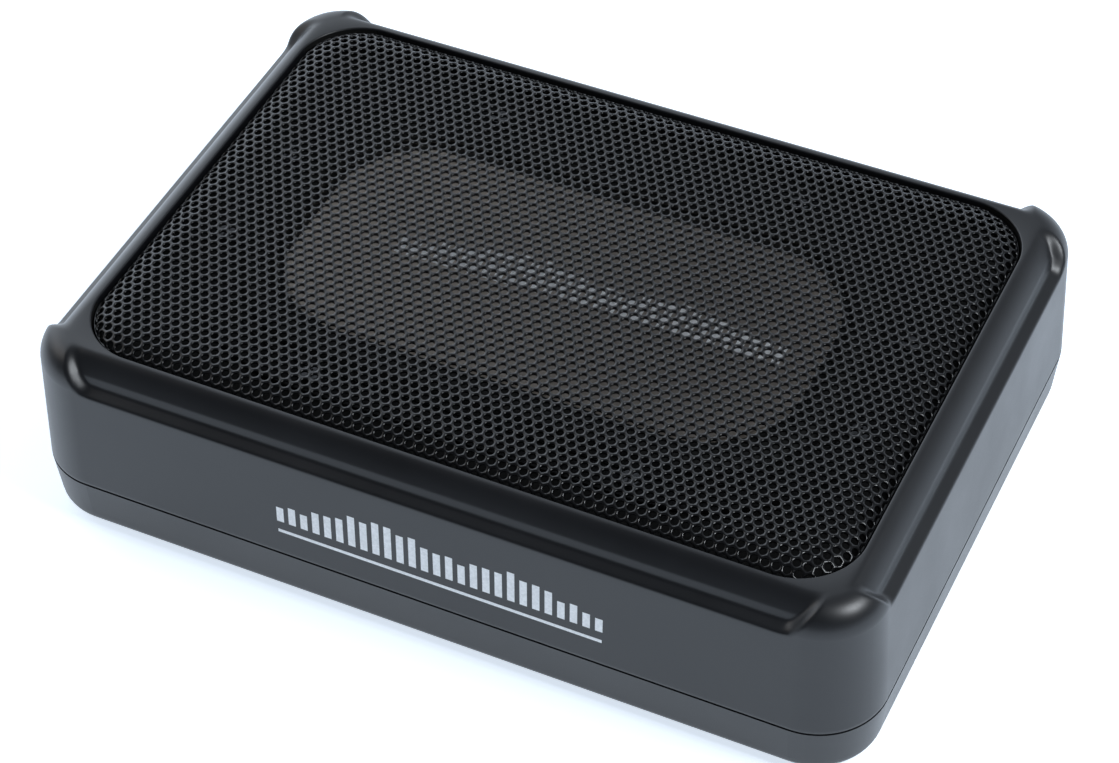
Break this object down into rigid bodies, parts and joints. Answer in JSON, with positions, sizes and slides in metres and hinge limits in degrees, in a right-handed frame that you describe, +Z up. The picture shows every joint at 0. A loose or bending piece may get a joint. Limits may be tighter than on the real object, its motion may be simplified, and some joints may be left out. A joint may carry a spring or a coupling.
{
  "type": "powered car subwoofer",
  "caption": "Slim under-seat powered subwoofer: two-shell black housing, perforated steel grille, flat oblong driver and built-in amplifier.",
  "frame": {"origin": "centre of the footprint, on the surface that the rubber feet stand on", "axes": "+X along the length, away from the control panel; -Y towards the front; +Z up"},
  "size_m": [0.328, 0.232, 0.0834],
  "materials": {
    "upper_shell_plastic": "satin moulded ABS, fine spark texture",
    "lower_shell_plastic": "satin moulded ABS, fine spark texture",
    "gasket_foam": "matt closed-cell foam",
    "foot_rubber": "matt",
    "black_steel_screws": "blackened",
    "insert_brass": "knurled, plain",
    "grille_paint": "gloss black powder coat",
    "basket_paint": "satin black",
    "pole_steel": "zinc plated",
    "ferrite": "sintered, matt",
    "panel_composite": "grey-brown brushed skin",
    "cone_pulp": "pressed pulp",
    "surround_rubber": "satin",
    "spider_cloth": "resin-dipped cotton",
    "former_film": "amber film",
    "copper_winding": "enamelled copper",
    "strip_phenolic": "plain",
    "braid": "tinned braid",
    "red_wire": "PVC insulation",
    "header_nylon": "natural nylon",
    "board_green": "solder mask",
    "bright_steel": "nickel plated",
    "capacitor_sleeve": "shrink sleeve",
    "toroid_coat": "epoxy coat",
    "inductor_ferrite": "matt",
    "chip_epoxy": "moulded epoxy",
    "pad_silicone": "matt",
    "sink_aluminium": "mill finish",
    "black_nylon": "plain",
    "panel_plastic": "fine texture",
    "pin_plating": "gold flash",
    "white_insulator": "plain",
    "red_insulator": "plain",
    "led_lens": "clear lens",
    "fuse_amber": "translucent",
    "pot_metal": "plain",
    "knob_plastic": "fluted",
    "slider_plastic": "plain",
    "damping_felt": "open-cell foam"
  },
  "bodies": {
    "housing": {"upper_housing": "upper_shell_plastic", "base_pan": "lower_shell_plastic", "seam_gasket": "gasket_foam", "rubber_feet": "foot_rubber", "base_screws": "black_steel_screws", "mounting_inserts": "insert_brass", "grille": "grille_paint", "grille_seat_foam": "gasket_foam", "basket": "basket_paint", "basket_gasket": "gasket_foam", "driver_screws": "black_steel_screws", "back_plate": "pole_steel", "magnet": "ferrite", "top_plate": "pole_steel", "terminal_strip": "strip_phenolic", "speaker_wires": "red_wire", "wire_header": "header_nylon", "main_board": "board_green", "board_screws": "bright_steel", "filter_capacitors": "capacitor_sleeve", "toroid_core": "toroid_coat", "toroid_winding": "copper_winding", "output_inductors": "inductor_ferrite", "power_transistors": "chip_epoxy", "thermal_pad": "pad_silicone", "heat_sink": "sink_aluminium", "amplifier_chips": "chip_epoxy", "board_link": "black_nylon", "control_board": "board_green", "control_panel": "panel_plastic", "panel_screws": "black_steel_screws", "power_connector": "black_nylon", "power_pins": "pin_plating", "speaker_input_connector": "header_nylon", "speaker_input_pins": "pin_plating", "rca_barrel_left": "pin_plating", "rca_core_left": "white_insulator", "rca_barrel_right": "pin_plating", "rca_core_right": "red_insulator", "remote_jack": "black_nylon", "power_led": "led_lens", "fuse_holder": "black_nylon", "gain_pot": "pot_metal", "crossover_pot": "pot_metal", "boost_pot": "pot_metal", "phase_switch": "bright_steel", "damping_foam": "damping_felt"},
    "diaphragm": {"cone_panel": "panel_composite", "drive_cone": "cone_pulp", "surround": "surround_rubber", "spider": "spider_cloth", "voice_coil_former": "former_film", "voice_coil_winding": "copper_winding", "tinsel_leads": "braid"},
    "gain_dial": {"gain_knob": "knob_plastic"},
    "crossover_dial": {"crossover_knob": "knob_plastic"},
    "boost_dial": {"boost_knob": "knob_plastic"},
    "phase_lever": {"phase_slider": "slider_plastic"},
    "fuse_link": {"fuse": "fuse_amber"}
  },
  "joints": [
    {"name": "cone_travel", "type": "slide", "parent": "housing", "child": "diaphragm", "axis": [0, 0, 1], "range_m": [-0.0045, 0.0045], "stiffness_N_per_m": 3000, "springref_m": 0.00038, "deforming": ["surround", "spider", "tinsel_leads"]},
    {"name": "gain_turn", "type": "hinge", "parent": "housing", "child": "gain_dial", "pos_m": [-0.161, 0.035, 0.046], "axis": [-1, 0, 0], "range_deg": [-140, 140]},
    {"name": "crossover_turn", "type": "hinge", "parent": "housing", "child": "crossover_dial", "pos_m": [-0.161, 0.048, 0.046], "axis": [-1, 0, 0], "range_deg": [-140, 140]},
    {"name": "boost_turn", "type": "hinge", "parent": "housing", "child": "boost_dial", "pos_m": [-0.161, 0.061, 0.046], "axis": [-1, 0, 0], "range_deg": [-140, 140]},
    {"name": "phase_slide", "type": "slide", "parent": "housing", "child": "phase_lever", "axis": [0, 1, 0], "range_m": [0, 0.003]},
    {"name": "fuse_pull", "type": "slide", "parent": "housing", "child": "fuse_link", "axis": [-1, 0, 0], "range_m": [0, 0.012]}
  ]
}
